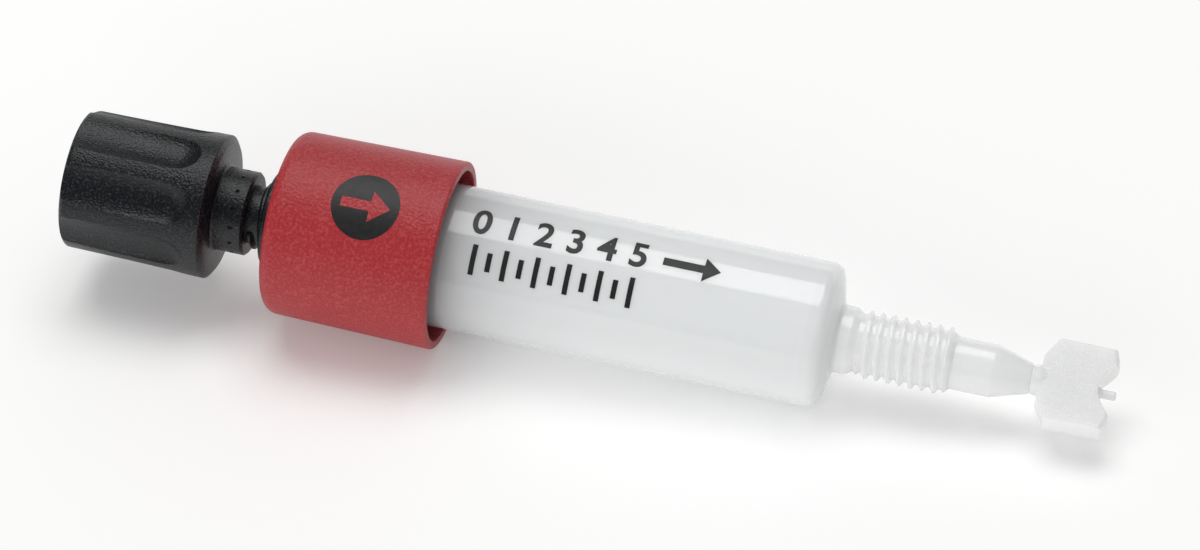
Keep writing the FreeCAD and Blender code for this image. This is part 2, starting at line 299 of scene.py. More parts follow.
def stations():
    """Works out every station along the axis from the sizes."""
    group = sizes()
    at = SimpleNamespace()
    at.neck_end = group.stopper.knob_length + group.stopper.neck_length
    at.boss_face = at.neck_end + group.stopper.stem_shown
    at.stem_end = at.boss_face + group.stopper.stem_in_port
    at.collar_face = at.boss_face + group.collar.boss_height
    at.collar_rim = at.collar_face + group.collar.length
    at.flange_start = at.collar_face + group.collar.end_wall
    at.barrel_head = at.flange_start + group.barrel.head_gap
    at.head_end = at.barrel_head + group.barrel.head_length
    at.frit_start = at.collar_rim - group.barrel.frit_thickness
    at.bed_start = at.collar_rim
    at.bed_end = at.bed_start + group.barrel.bed_length
    at.bore_end = at.bed_end + group.barrel.frit_thickness
    at.shoulder = at.bore_end + group.barrel.end_wall
    at.nozzle_start = at.shoulder + group.barrel.end_cone
    at.relief_start = at.nozzle_start + group.outlet.root_length
    at.thread_start = at.relief_start + group.outlet.relief_length
    at.thread_end = at.thread_start + group.outlet.thread_length
    at.nose_end = at.thread_end + group.outlet.nose_length
    at.cone_end = at.nose_end + group.outlet.cone_length
    at.tab_start = at.cone_end + group.tab.break_length
    at.plate_start = at.tab_start + group.tab.core_flare
    at.notch_bottom = at.plate_start + group.tab.root_to_notch
    at.side_end = at.plate_start + group.tab.side_length
    at.bed_middle = (at.bed_start + at.bed_end) / 2
    return at


def middle_of(node):
    """Gives the middle of a node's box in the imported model."""
    low, high = (Vector(corner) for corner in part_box(node))
    return (low + high) / 2


def resting_place():
    """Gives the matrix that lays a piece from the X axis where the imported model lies."""
    along = Vector(BARREL_MOUNT["axis"]).normalized()
    across = Vector((0, 1, 0))
    up = along.cross(across)
    start = middle_of("packed_bed") - along * stations().bed_middle
    columns = Matrix((along, across, up)).transposed().to_4x4()
    return Matrix.Translation(start) @ columns


# Modelling tools


def select_nothing():
    """Leaves edit mode with nothing selected."""
    if bpy.context.mode != "OBJECT":
        bpy.ops.object.mode_set(mode="OBJECT")
    bpy.ops.object.select_all(action="DESELECT")


def select_only(piece):
    """Leaves edit mode and makes the piece the only selected object."""
    select_nothing()
    piece.select_set(True)
    bpy.context.view_layer.objects.active = piece


def edit_whole(piece):
    """Enters edit mode with the whole piece selected."""
    select_only(piece)
    bpy.ops.object.mode_set(mode="EDIT")
    bpy.ops.mesh.select_all(action="SELECT")


def begin(name):
    """Adds a piece of one vertex at the origin and stays in edit mode."""
    select_nothing()
    bpy.ops.mesh.primitive_plane_add(size=MILLIMETRE, location=(0, 0, 0))
    piece = bpy.context.active_object
    piece.name = name
    bpy.ops.object.mode_set(mode="EDIT")
    bpy.ops.mesh.select_all(action="SELECT")
    bpy.ops.mesh.merge(type="CENTER")
    return piece


def draw(points):
    """Draws edges through the points with the selected vertex."""
    bpy.ops.transform.translate(value=points[0])
    for before, after in zip(points, points[1:]):
        bpy.ops.mesh.extrude_region_move(TRANSFORM_OT_translate={"value": after - before})


def clean_up():
    """Merges doubles, turns the faces outwards and leaves edit mode."""
    bpy.ops.mesh.select_all(action="SELECT")
    bpy.ops.mesh.remove_doubles(threshold=MERGE_DISTANCE)
    bpy.ops.mesh.normals_make_consistent(inside=False)
    bpy.ops.object.mode_set(mode="OBJECT")


def rounded(corners):
    """Turns (x, y, round) corners into points, with an arc at each corner that has a round."""
    points = []
    places = [Vector((x, y, 0)) for x, y, _ in corners]
    for index, (place, (_, _, radius)) in enumerate(zip(places, corners)):
        if radius == 0:
            points.append(place)
            continue
        back = (places[index - 1] - place).normalized()
        ahead = (places[(index + 1) % len(places)] - place).normalized()
        half_angle = back.angle(ahead) / 2
        centre = place + (back + ahead).normalized() * (radius / math.sin(half_angle))
        first = place + back * (radius / math.tan(half_angle)) - centre
        last = place + ahead * (radius / math.tan(half_angle)) - centre
        turn = first.angle(last)
        for step in range(ROUND_SEGMENTS + 1):
            passed = turn * step / ROUND_SEGMENTS
            spoke = (first * math.sin(turn - passed) + last * math.sin(passed)) / math.sin(turn)
            points.append(centre + spoke)
    return points


def turned(name, corners, closed=False, steps=TURN_STEPS):
    """Turns a profile of (station, radius, round) corners about the X axis."""
    piece = begin(name)
    points = [Vector((point.x, -point.y, 0)) for point in rounded(corners)]
    draw(points + points[:1] if closed else points)
    bpy.ops.mesh.select_all(action="SELECT")
    bpy.ops.mesh.spin(steps=steps, angle=2 * math.pi, center=(0, 0, 0), axis=(1, 0, 0))
    clean_up()
    return piece


def slab(name, corners, thickness):
    """Fills an outline of (x, y, round) corners and gives it a thickness about the XY plane."""
    piece = begin(name)
    draw([point - Vector((0, 0, thickness / 2)) for point in rounded(corners)])
    bpy.ops.mesh.select_all(action="SELECT")
    bpy.ops.mesh.edge_face_add()
    bpy.ops.mesh.extrude_region_move(TRANSFORM_OT_translate={"value": (0, 0, thickness)})
    clean_up()
    return piece


def placed(piece, matrix):
    """Moves a piece's mesh by a matrix."""
    select_only(piece)
    piece.matrix_world = matrix
    bpy.ops.object.transform_apply(location=True, rotation=True, scale=True)
    return piece


def about_axis(turn):
    """Gives the turn about the axis from the viewer's side upwards."""
    return Matrix.Rotation(-turn, 4, "X")


def copied(piece, matrix):
    """Copies a piece with its own mesh and moves the copy."""
    select_only(piece)
    bpy.ops.object.duplicate()
    return placed(bpy.context.active_object, matrix)


def joined(pieces):
    """Joins pieces into the first one without changing their surfaces."""
    select_only(pieces[0])
    for piece in pieces[1:]:
        piece.select_set(True)
    if len(pieces) > 1:
        bpy.ops.object.join()
    return pieces[0]


def ring_of(piece, first_turn, number_of_copies):
    """Puts copies of a piece evenly about the axis in its place."""
    turns = [first_turn + 2 * math.pi * index / number_of_copies for index in range(number_of_copies)]
    copies = [copied(piece, about_axis(turn)) for turn in turns]
    bpy.data.objects.remove(piece, do_unlink=True)
    return joined(copies)


def end_scaled(piece, station, height, width):
    """Scales the end of a piece at a station, which closes or opens its side towards that end."""
    edit_whole(piece)
    bpy.ops.mesh.select_all(action="DESELECT")
    bpy.ops.object.mode_set(mode="OBJECT")
    for vertex in piece.data.vertices:
        vertex.select = abs(vertex.co.x - station) < MERGE_DISTANCE
    bpy.ops.object.mode_set(mode="EDIT")
    bpy.ops.transform.resize(value=(1, height, width), center_override=(station, 0, 0))
    bpy.ops.object.mode_set(mode="OBJECT")


def applied(piece, kind, **settings):
    """Adds a modifier of a kind, sets it and applies it."""
    select_only(piece)
    bpy.ops.object.modifier_add(type=kind)
    modifier = piece.modifiers[-1]
    for name, value in settings.items():
        setattr(modifier, name, value)
    bpy.ops.object.modifier_apply(modifier=modifier.name)
    return piece


def combined(piece, tool, operation, use_self=False):
    """Cuts, joins or crosses a piece with a closed tool, which is used up."""
    applied(piece, "BOOLEAN", object=tool, operation=operation, solver="EXACT", use_self=use_self)
    bpy.data.objects.remove(tool, do_unlink=True)
    return piece


def merged(piece):
    """Merges a piece's doubled corners and turns its faces outwards."""
    edit_whole(piece)
    clean_up()
    return piece


def facing(station, radius, turn):
    """Gives the place of a flat mark that faces outwards from the axis, with its X along the axis."""
    across = Vector((0, math.sin(turn), math.cos(turn)))
    outwards = Vector((0, -math.cos(turn), math.sin(turn)))
    middle = Vector((station, 0, 0)) + outwards * radius
    turned_out = Matrix((Vector((1, 0, 0)), across, outwards)).transposed()
    return Matrix.Translation(middle) @ turned_out.to_4x4()


def printed(name, marks, start, end, radius_at, steps):
    """Keeps of some upright marks only a thin film of ink that follows a round surface."""
    ink = sizes().prints.ink_thickness
    film = turned("ink_film", [
        (start, radius_at(start) - ink, 0),
        (start, radius_at(start) + ink, 0),
        (end, radius_at(end) + ink, 0),
        (end, radius_at(end) - ink, 0),
    ], closed=True, steps=steps)
    piece = combined(joined(marks), film, "INTERSECT", use_self=True)
    piece.name = name
    return piece


def handed_over(piece, body, material, nodes=()):
    """Lays a finished piece down, smooths it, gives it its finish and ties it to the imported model."""
    placed(piece, resting_place())
    bpy.ops.object.shade_smooth_by_angle(angle=SMOOTH_ANGLE)
    applied(piece, "WEIGHTED_NORMAL", keep_sharp=True)
    if not piece.data.materials:
        piece.data.materials.append(material)
    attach(piece, body)
    if nodes:
        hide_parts(*nodes)
    return piece


# Shader tools

# What a moulding's colour darkens to: black, or the cool grey of the painted shade on the tube by the
# collar.
BLACK = (0, 0, 0)
COOL_SHADE = (0.0, 0.004, 0.018)


class Value:
    """A number in a shader. Sums, differences and products of values add Math nodes."""

    def __init__(self, finish, socket):
        self.finish = finish
        self.socket = socket

    def math(self, operation, first, second):
        """Gives what a Math node makes of two numbers or values."""
        return self.finish.node("ShaderNodeMath", {"operation": operation}, {0: first, 1: second})

    def __add__(self, other):
        return self.math("ADD", self, other)

    def __sub__(self, other):
        return self.math("SUBTRACT", self, other)

    def __mul__(self, other):
        return self.math("MULTIPLY", self, other)

    def __radd__(self, other):
        return self.math("ADD", other, self)

    def __rsub__(self, other):
        return self.math("SUBTRACT", other, self)

    def __rmul__(self, other):
        return self.math("MULTIPLY", other, self)

    def above(self, limit):
        """Gives one where the value is over a limit, and nothing elsewhere."""
        return self.math("GREATER_THAN", self, limit)


class Finish:
    """A material with a Principled shader, built node by node."""

    def __init__(self, name, **constants):
        self.material = bpy.data.materials.new(name)
        self.material.use_nodes = True
        self.tree = self.material.node_tree
        self.shader = next(node for node in self.tree.nodes if node.type == "BSDF_PRINCIPLED")
        for socket, value in constants.items():
            self.shader.inputs[socket.replace("_", " ")].default_value = value
        self.coordinates = self.node("ShaderNodeTexCoord", output="Object")

    def node(self, kind, settings=None, values=None, output=0):
        """Adds a node of a kind, sets it, fills its sockets and gives one of its outputs."""
        node = self.tree.nodes.new(kind)
        for name, value in (settings or {}).items():
            setattr(node, name, value)
        for name, value in (values or {}).items():
            if isinstance(value, Value):
                self.tree.links.new(value.socket, node.inputs[name])
            else:
                node.inputs[name].default_value = value
        return Value(self, node.outputs[output])

    def feed(self, **values):
        """Links values to sockets of the shader."""
        for name, value in values.items():
            self.tree.links.new(value.socket, self.shader.inputs[name.replace("_", " ")])
        return self.material

    def dot(self, vector, direction):
        """Gives how far a vector reaches in a direction."""
        vectors = {0: vector, 1: direction}
        return self.node("ShaderNodeVectorMath", {"operation": "DOT_PRODUCT"}, vectors, "Value")

    def along_axis(self):
        """Gives the station along the column's axis."""
        direction = resting_place().col[0].xyz
        return self.dot(self.coordinates, direction) - resting_place().translation.dot(direction)

    def noise(self, millimetres, detail=2.0):
        """Gives noise whose grains are about as wide as given."""
        values = {"Vector": self.coordinates, "Scale": 1 / (millimetres * MILLIMETRE), "Detail": detail}
        return self.node("ShaderNodeTexNoise", {}, values)

    def cells(self, millimetres):
        """Gives cells about as wide as given, as the distance from their middles."""
        values = {"Vector": self.coordinates, "Scale": 1 / (millimetres * MILLIMETRE)}
        return self.node("ShaderNodeTexVoronoi", {}, values, "Distance")

    def fade(self, value, start, end):
        """Gives a soft step from nothing at the start to one at the end."""
        return self.node("ShaderNodeMapRange", {"interpolation_type": "SMOOTHSTEP"},
                         {"Value": value, "From Min": start, "From Max": end})

    def decay(self, station, start, millimetres):
        """Gives one at a station, which falls to a third over the given length and then fades away."""
        passed = (start - station) * (1 / (millimetres * MILLIMETRE))
        return self.node("ShaderNodeMath", {"operation": "EXPONENT", "use_clamp": True}, {0: passed})

    def ring(self, station, middle, millimetres):
        """Gives a soft ring about a station that fades out over the given width on both sides."""
        width = millimetres * MILLIMETRE
        return self.fade(station, middle - width, middle) * self.fade(station, middle + width, middle)

    def between(self, factor, low, high):
        """Mixes two colours by a factor."""
        ends = {0: factor, 6: (*low, 1), 7: (*high, 1)}
        return self.node("ShaderNodeMix", {"data_type": "RGBA"}, ends, output=2)

    def letting_light_by(self, amount):
        """Gives an opacity that only the lamps' shadow rays find low, so that the shadow is as light
        as milky plastic makes it."""
        return 1 - amount * self.node("ShaderNodeLightPath", output="Is Shadow Ray")

    def bump(self, height, millimetres):
        """Gives the normal of a surface that a height of one raises by the given depth."""
        depth = millimetres * MILLIMETRE
        return self.node("ShaderNodeBump", {}, {"Height": height, "Distance": depth}, "Normal")


def shaded(tone, factor):
    """Gives a colour times a factor, at most white."""
    return tuple(min(1.0, part * factor) for part in tone)


def black_moulding():
    """Matte black plastic with a fine spark-eroded grain whose specks carry painted glints."""
    tone = sizes().colours.black
    finish = Finish("black_moulding", IOR=PLASTIC_IOR)
    grain = finish.noise(0.15, detail=1.0)
    patches = finish.noise(3.0)
    # Painted glints: the grain's peaks get a far lighter colour that stands in for sparkle.
    painted_glints = finish.fade(grain, 0.5, 0.74)
    return finish.feed(
        Base_Color=finish.between(painted_glints, shaded(tone, 0.6), shaded(tone, 6.0)),
        Roughness=0.22 + 0.1 * patches + 0.2 * grain,
        Normal=finish.bump(grain, 0.05),
    )


def red_moulding():
    """Satin red plastic with a fine pebbled grain whose specks carry painted glints."""
    tone = sizes().colours.red
    finish = Finish("red_moulding", IOR=PLASTIC_IOR)
    grain = finish.noise(0.2, detail=1.0)
    patches = finish.noise(4.0)
    # Painted glints: the grain's peaks turn a paler red.
    painted_glints = finish.fade(grain, 0.4, 0.8)
    paler = 0.04
    painted_glint_tone = tuple(part + paler for part in tone)
    return finish.feed(
        Base_Color=finish.between(0.15 * patches + 0.85 * painted_glints, shaded(tone, 0.84), painted_glint_tone),
        Roughness=0.32 + 0.08 * patches + 0.16 * grain,
        Normal=finish.bump(grain, 0.07),
    )


def clear_moulding():
    """Milky plastic of the tube, greyed towards the collar by painted shade, with the frits showing as
    faint rings.
    """
    tone = sizes().colours.tube
    at = stations()
    finish = Finish("clear_moulding", IOR=1.58, Transmission_Weight=0.08, Subsurface_Weight=0.7,
                    Subsurface_Scale=0.8 * MILLIMETRE, Subsurface_Radius=(0.9, 0.97, 1.0))
    station = finish.along_axis()
    cloud = finish.noise(4.0)
    ripple = finish.noise(1.4, detail=1.0)
    # Painted shade of the collar: the tube's colour is greyest at the rim and lightens over a few
    # millimetres.
    painted_collar_shade = finish.decay(station, at.collar_rim, 3.7)
    rings = finish.ring(station, at.collar_rim + 0.3 * MILLIMETRE, 0.12)
    rings += finish.ring(station, at.bed_end + 0.4 * MILLIMETRE, 0.22)
    rings += finish.ring(station, at.bore_end + 1.05 * MILLIMETRE, 0.2)
    light = 0.98 - 0.55 * painted_collar_shade + 0.02 * cloud + 0.035 * rings
    return finish.feed(
        Base_Color=finish.between(light, COOL_SHADE, tone),
        Roughness=0.07 + 0.05 * cloud,
        Alpha=finish.letting_light_by(0.78),
        Normal=finish.bump(ripple, 0.003),
    )


def solid_moulding():
    """Glossy natural plastic of nozzle and tab; the tab's flat faces are darker and matte, with a grain
    whose specks carry painted glints.
    """
    tone = sizes().colours.natural
    finish = Finish("solid_moulding", IOR=1.52, Subsurface_Weight=0.8,
                    Subsurface_Scale=2.0 * MILLIMETRE, Subsurface_Radius=(1.0, 0.97, 0.94))
    out_of_plate = (resting_place() @ Matrix.Rotation(sizes().tab.turn, 4, "X")).col[2].xyz
    flatness = finish.dot(finish.node("ShaderNodeTexCoord", output="Normal"), out_of_plate)
    on_tab = finish.along_axis().above(stations().tab_start)
    on_face = on_tab * finish.fade(flatness * flatness, 0.5, 0.8)
    grain = finish.noise(0.14, detail=1.0)
    painted_glints = finish.fade(grain, 0.5, 0.75)
    cloud = finish.noise(2.5)
    # The tab's flat faces are darker, and their grain's peaks carry painted glints.
    light = 0.96 + 0.04 * cloud + on_face * (0.08 * painted_glints - 0.09)
    return finish.feed(
        Base_Color=finish.between(light, BLACK, tone),
        Roughness=0.12 + 0.04 * cloud + on_face * (0.26 + 0.12 * grain),
        Alpha=finish.letting_light_by(0.35),
        Normal=finish.bump(grain * on_face, 0.05),
    )


def packed_beads():
    """Settled resin beads, seen through the tube's wall."""
    tone = sizes().colours.bed
    finish = Finish("packed_beads", IOR=1.33)
    beads = finish.cells(0.12)
    cloud = finish.noise(2.0)
    return finish.feed(
        Base_Color=finish.between(cloud, shaded(tone, 0.96), shaded(tone, 1.03)),
        Roughness=0.55 + 0.2 * beads,
        Alpha=finish.letting_light_by(0.78),
        Normal=finish.bump(beads, 0.03),
    )


def porous_frit():
    """Sintered plastic of the frits."""
    tone = sizes().colours.frit
    finish = Finish("porous_frit", IOR=PLASTIC_IOR)
    pores = finish.noise(0.08, detail=3.0)
    return finish.feed(
        Base_Color=finish.between(pores, shaded(tone, 0.8), shaded(tone, 1.05)),
        Roughness=0.6 + 0.2 * pores,
        Normal=finish.bump(pores, 0.03),
    )


def printed_ink():
    """Black pad-printed ink, a little uneven."""
    tone = sizes().colours.ink
    finish = Finish("printed_ink", IOR=1.45)
    film = finish.noise(0.3, detail=3.0)
    return finish.feed(
        Base_Color=finish.between(film, shaded(tone, 0.8), shaded(tone, 1.8)),
        Roughness=0.35 + 0.2 * film,
        Normal=finish.bump(film, 0.012),
    )


# Pieces


def fluted_knob():
    """Models the stopper's body and cuts the flutes, which run out towards the knob's flat end."""
    group = sizes().stopper
    at = stations()
    body = turned("inlet_stopper_body", [
        (0, 0, 0),
        (0, group.knob_start_radius, group.knob_end_round),
        (group.knob_length - group.rim_bevel_length, group.knob_rim_radius, group.rim_bevel_length / 3),
        (group.knob_length, group.knob_rim_radius - group.rim_bevel_depth, 0),
        (group.knob_length, group.neck_radius, group.neck_root_round),
        (at.neck_end - group.neck_bevel, group.neck_radius, 0),
        (at.neck_end, group.neck_radius - group.neck_bevel, 0),
        (at.neck_end, group.stem_root_radius, 0),
        (at.stem_end, group.stem_root_radius, 0),
        (at.stem_end, 0, 0),
    ])
    lean = math.atan2(group.knob_rim_radius - group.knob_start_radius, group.knob_length)
    half_chord = math.sqrt(group.flute_radius ** 2 - (group.flute_radius - group.flute_depth) ** 2)
    bar_end = group.knob_length - group.flute_to_rim - half_chord
    bar_start = -group.flute_radius
    cutter = turned("flute_cutter", [
        (bar_start, 0, 0),
        (bar_start, group.flute_radius, 0),
        (bar_end + group.flute_radius, group.flute_radius, group.flute_radius),
        (bar_end + group.flute_radius, 0, 0),
    ], steps=MIDDLE_STEPS)
    end_scaled(cutter, bar_start, group.flute_start_height, group.flute_start_width)
    out = Matrix.Translation((0, group.flute_depth - group.flute_radius - group.knob_start_radius, 0))
    placed(cutter, out @ Matrix.Rotation(-lean, 4, "Z"))
    return combined(body, ring_of(cutter, group.flute_turn, group.flute_count), "DIFFERENCE")


def neck_pits():
    """Models the small balls that press the pits into the neck."""
    group = sizes().stopper
    at = stations()
    station = at.neck_end - group.pit_to_end
    ball = turned("pit_cutter", [
        (-group.pit_radius, 0, 0),
        (-group.pit_radius, group.pit_radius, group.pit_radius),
        (group.pit_radius, group.pit_radius, group.pit_radius),
        (group.pit_radius, 0, 0),
    ], steps=PIT_STEPS)
    placed(ball, Matrix.Translation((station, -group.neck_radius, 0)))
    return ring_of(ball, group.pit_turn, group.pit_count)


def thread(name, start, length, root_radius, crest_radius):
    """Models the right-handed ridge of a screw thread, sunk a little under its root."""
    group = sizes().outlet
    foot_radius = root_radius - group.thread_sink
    crest_half = group.thread_crest / 2
    slope = (group.thread_foot - group.thread_crest) / 2 / (crest_radius - root_radius)
    foot_half = group.thread_foot / 2 + slope * group.thread_sink
    section = [
        Vector((start - foot_half, -foot_radius, 0)),
        Vector((start - crest_half, -crest_radius, 0)),
        Vector((start + crest_half, -crest_radius, 0)),
        Vector((start + foot_half, -foot_radius, 0)),
        Vector((start - foot_half, -foot_radius, 0)),
    ]
    piece = begin(name)
    draw(section)
    clean_up()
    turns = length / group.thread_pitch
    steps = math.ceil(turns * THREAD_STEPS)
    applied(piece, "SCREW", axis="X", angle=2 * math.pi * turns, screw_offset=length,
            steps=steps, render_steps=steps, use_merge_vertices=False)
    edit_whole(piece)
    bpy.ops.mesh.fill_holes(sides=4)
    clean_up()
    return piece


class COLUMN_OT_stopper(bpy.types.Operator):
    """Model the fluted stopper with its neck and threaded stem"""
    bl_idname = "column.stopper"
    bl_label = "Fluted stopper"

    def execute(self, context):
        group = sizes().stopper
        at = stations()
        piece = fluted_knob()
        combined(piece, neck_pits(), "DIFFERENCE")
        ridge = thread("stem_thread", at.neck_end + group.stem_thread_start, group.stem_in_port,
                       group.stem_root_radius, group.stem_radius)
        combined(piece, ridge, "UNION")
        handed_over(piece, "stopper", black_moulding(), ["inlet_stopper"])
        return {"FINISHED"}


class COLUMN_OT_adapter(bpy.types.Operator):
    """Model the inlet adapter with its port boss, flange and plug"""
    bl_idname = "column.adapter"
    bl_label = "Inlet adapter"

    def execute(self, context):
        collar = sizes().collar
        barrel = sizes().barrel
        at = stations()
        plug_radius = barrel.bore_radius - barrel.plug_fit
        piece = turned("top_adapter_body", [
            (at.boss_face, collar.port_radius, collar.boss_round / 2),
            (at.boss_face, collar.boss_radius, collar.boss_round),
            (at.flange_start, collar.boss_radius, 0),
            (at.flange_start, barrel.head_radius, 0),
            (at.barrel_head, barrel.head_radius, 0),
            (at.barrel_head, plug_radius, 0),
            (at.frit_start, plug_radius, 0),
            (at.frit_start, barrel.channel_radius, 0),
            (at.stem_end + collar.fit, barrel.channel_radius, 0),
            (at.stem_end + collar.fit, collar.port_radius, 0),
        ], closed=True)
        handed_over(piece, "column", black_moulding(), ["top_adapter"])
        return {"FINISHED"}


class COLUMN_OT_collar(bpy.types.Operator):
    """Model the collar with its rounded end wall and its wider mouth"""
    bl_idname = "column.collar"
    bl_label = "Collar"

    def execute(self, context):
        group = sizes().collar
        at = stations()
        hole_radius = group.boss_radius + group.fit
        grip_end = at.flange_start + group.grip_length
        piece = turned("collar_body", [
            (at.collar_face, hole_radius, group.rim_round / 2),
            (at.collar_face, group.start_radius, group.end_round),
            (at.collar_rim, group.rim_radius, group.rim_round),
            (at.collar_rim, group.mouth_radius, group.rim_round / 2),
            (grip_end, group.mouth_radius, 0),
            (grip_end, group.bore_radius, 0),
            (at.flange_start, group.bore_radius, 0),
            (at.flange_start, hole_radius, 0),
        ], closed=True, steps=COLLAR_STEPS)
        handed_over(piece, "column", red_moulding(), ["collar"])
        return {"FINISHED"}


def outlet_thread():
    """Models the outlet's thread, cut to its run-in and its bevelled end."""
    group = sizes().outlet
    at = stations()
    ridge = thread("outlet_thread", at.thread_start, group.thread_length,
                   group.thread_root_radius, group.radius)
    inner_radius = group.thread_root_radius / 2
    skin = 0.004 * MILLIMETRE
    envelope = turned("thread_envelope", [
        (at.thread_start, inner_radius, 0),
        (at.thread_start, group.thread_root_radius, 0),
        (at.thread_start + group.thread_run_in, group.radius + skin, 0),
        (at.thread_end - group.thread_end_bevel, group.radius + skin, 0),
        (at.thread_end, group.nose_radius, 0),
        (at.thread_end, inner_radius, 0),
    ], closed=True, steps=COARSE_STEPS)
    return combined(ridge, envelope, "INTERSECT")


def notch_cutter():
    """Models the bar that cuts the notch, with a round bottom and a flared, rounded mouth."""
    group = sizes().tab
    at = stations()
    half = group.width / 2
    slope = group.notch_slope
    corner = at.notch_bottom - group.notch_radius * (1 / math.sin(slope) - 1)
    peak = at.side_end + group.end_rise
    mouth_half = (peak - corner) / (1 / math.tan(slope) + group.end_rise / half)
    mouth = corner + mouth_half / math.tan(slope)
    flare = at.side_end + group.edge_round
    return slab("notch_cutter", [
        (corner, 0, group.notch_radius),
        (mouth, mouth_half, group.prong_round),
        (flare, half + group.end_round, 0),
        (peak + half, half + group.end_round, 0),
        (peak + half, -half - group.end_round, 0),
        (flare, -half - group.end_round, 0),
        (mouth, -mouth_half, group.prong_round),
    ], 2 * group.thickness)


def tab_plate():
    """Models the flat of the tab with its sloping shoulders, rounded risen end and flared notch."""
    group = sizes().tab
    at = stations()
    half = group.width / 2
    root_half = group.root_width / 2
    shoulder_end = at.plate_start + group.shoulder_length
    piece = slab("tab_plate", [
        (at.plate_start, -root_half, 0),
        (shoulder_end, -half, 0),
        (at.side_end, -half, 0),
        (at.side_end + group.end_rise, 0, 0),
        (at.side_end, half, 0),
        (shoulder_end, half, 0),
        (at.plate_start, root_half, 0),
    ], group.thickness)
    weights = piece.data.attributes.new("bevel_weight_edge", "FLOAT", "EDGE")
    for edge, weight in zip(piece.data.edges, weights.data):
        ends = [piece.data.vertices[index].co for index in edge.vertices]
        level = abs(ends[0].z - ends[1].z) < MERGE_DISTANCE
        on_end = min(end.x for end in ends) > at.side_end - MERGE_DISTANCE
        weight.value = 1.0 if level and on_end else group.edge_round / group.end_round
    applied(piece, "BEVEL", width=group.end_round, segments=EDGE_SEGMENTS, limit_method="WEIGHT")
    return combined(piece, notch_cutter(), "DIFFERENCE")


def twist_off_tab():
    """Models the tab with its round core and gate pin, turned as it was moulded."""
    group = sizes().tab
    at = stations()
    plate = tab_plate()
    sunk_radius = group.thickness / 2 - group.pin_radius
    core = turned("tab_core", [
        (at.tab_start, 0, 0),
        (at.tab_start, group.core_start_radius, 0),
        (at.plate_start, group.core_radius, group.core_round),
        (at.plate_start + group.core_blend, sunk_radius, 0),
        (at.plate_start + group.core_blend, 0, 0),
    ], steps=COARSE_STEPS)
    pin = turned("gate_pin", [
        (at.notch_bottom - group.pin_radius, 0, 0),
        (at.notch_bottom - group.pin_radius, 2 * group.pin_radius, 0),
        (at.notch_bottom + group.pin_radius, group.pin_radius, group.pin_radius / 2),
        (at.notch_bottom + group.pin_length, group.pin_radius, group.pin_radius / 3),
        (at.notch_bottom + group.pin_length, 0, 0),
    ], steps=PIN_STEPS)
    combined(plate, core, "UNION")
    combined(plate, pin, "UNION")
    return placed(plate, Matrix.Rotation(group.turn, 4, "X"))


class COLUMN_OT_barrel(bpy.types.Operator):
    """Model the tube, end wall, threaded nozzle, nose and twist-off tab as one moulding"""
    bl_idname = "column.barrel"
    bl_label = "Barrel and outlet"

    def execute(self, context):
        group = sizes().barrel
        outlet = sizes().outlet
        tab = sizes().tab
        at = stations()
        piece = turned("barrel_body", [
            (at.barrel_head, group.bore_radius, 0),
            (at.barrel_head, group.head_radius, group.edge_round),
            (at.head_end, group.head_radius, group.edge_round),
            (at.head_end, group.radius, 0),
            (at.shoulder, group.radius, group.end_round),
            (at.nozzle_start, outlet.radius, outlet.fillet),
            (at.relief_start, outlet.radius, 0),
            (at.thread_start, outlet.thread_root_radius, 0),
            (at.thread_end - outlet.thread_end_bevel / 2, outlet.thread_root_radius, 0),
            (at.thread_end, outlet.nose_radius, 0),
            (at.nose_end, outlet.nose_radius, outlet.nose_round),
            (at.cone_end, outlet.cone_tip_radius, 0),
            (at.cone_end + tab.break_length / 2, tab.break_radius, 0),
            (at.tab_start, tab.core_start_radius, 0),
            (at.plate_start, tab.core_start_radius, 0),
            (at.plate_start, 0, 0),
            (at.cone_end - group.channel_radius, 0, 0),
            (at.cone_end - group.channel_radius, group.channel_radius, 0),
            (at.bore_end, group.channel_radius, 0),
            (at.bore_end, group.bore_radius, 0),
        ], closed=True)
        combined(piece, outlet_thread(), "UNION")
        combined(piece, twist_off_tab(), "UNION")
        piece.data.materials.clear()
        piece.data.materials.append(clear_moulding())
        piece.data.materials.append(solid_moulding())
        for face in piece.data.polygons:
            face.material_index = int(face.center.x > at.nozzle_start + outlet.root_length / 2)
        handed_over(piece, "column", None, ["barrel"])
        return {"FINISHED"}


class COLUMN_OT_filling(bpy.types.Operator):
    """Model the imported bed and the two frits"""
    bl_idname = "column.filling"
    bl_label = "Packed bed and frits"

    def execute(self, context):
        group = sizes().barrel
        at = stations()
        radius = group.bore_radius - group.frit_fit
        frit = porous_frit()
        places = [
            ("top_frit_disc", at.frit_start, at.bed_start, frit, "frit", "top_frit"),
            ("packed_bed_resin", at.bed_start, at.bed_end, packed_beads(), "resin", "packed_bed"),
            ("bottom_frit_disc", at.bed_end, at.bore_end, frit, "frit", "bottom_frit"),
        ]
        for name, start, end, material, slot, node in places:
            piece = turned(name, [
                (start, 0, 0),
                (start, radius, group.frit_fit),
                (end, radius, group.frit_fit),
                (end, 0, 0),
            ], steps=MIDDLE_STEPS)
            handed_over(piece, "column", material, [node])
        return {"FINISHED"}


def flow_arrow(name, length, width, thickness):
    """Models a flat arrow that points along the flow, centred on the origin."""
    group = sizes().prints
    shaft = width * group.arrow_shaft
    head_start = length / 2 - width * group.arrow_head
    return slab(name, [
        (-length / 2, -shaft, 0),
        (head_start, -shaft, 0),
        (head_start, -width / 2, 0),
        (length / 2, 0, 0),
        (head_start, width / 2, 0),
        (head_start, shaft, 0),
        (-length / 2, shaft, 0),
    ], thickness)


def collar_radius(station):
    """Gives the collar's radius at a station."""
    group = sizes().collar
    at = stations()
    share_of_length = (station - at.collar_face) / group.length
    return group.start_radius + (group.rim_radius - group.start_radius) * share_of_length


def tube_radius(station):
    """Gives the tube's radius, which is the same at every station."""
    return sizes().barrel.radius


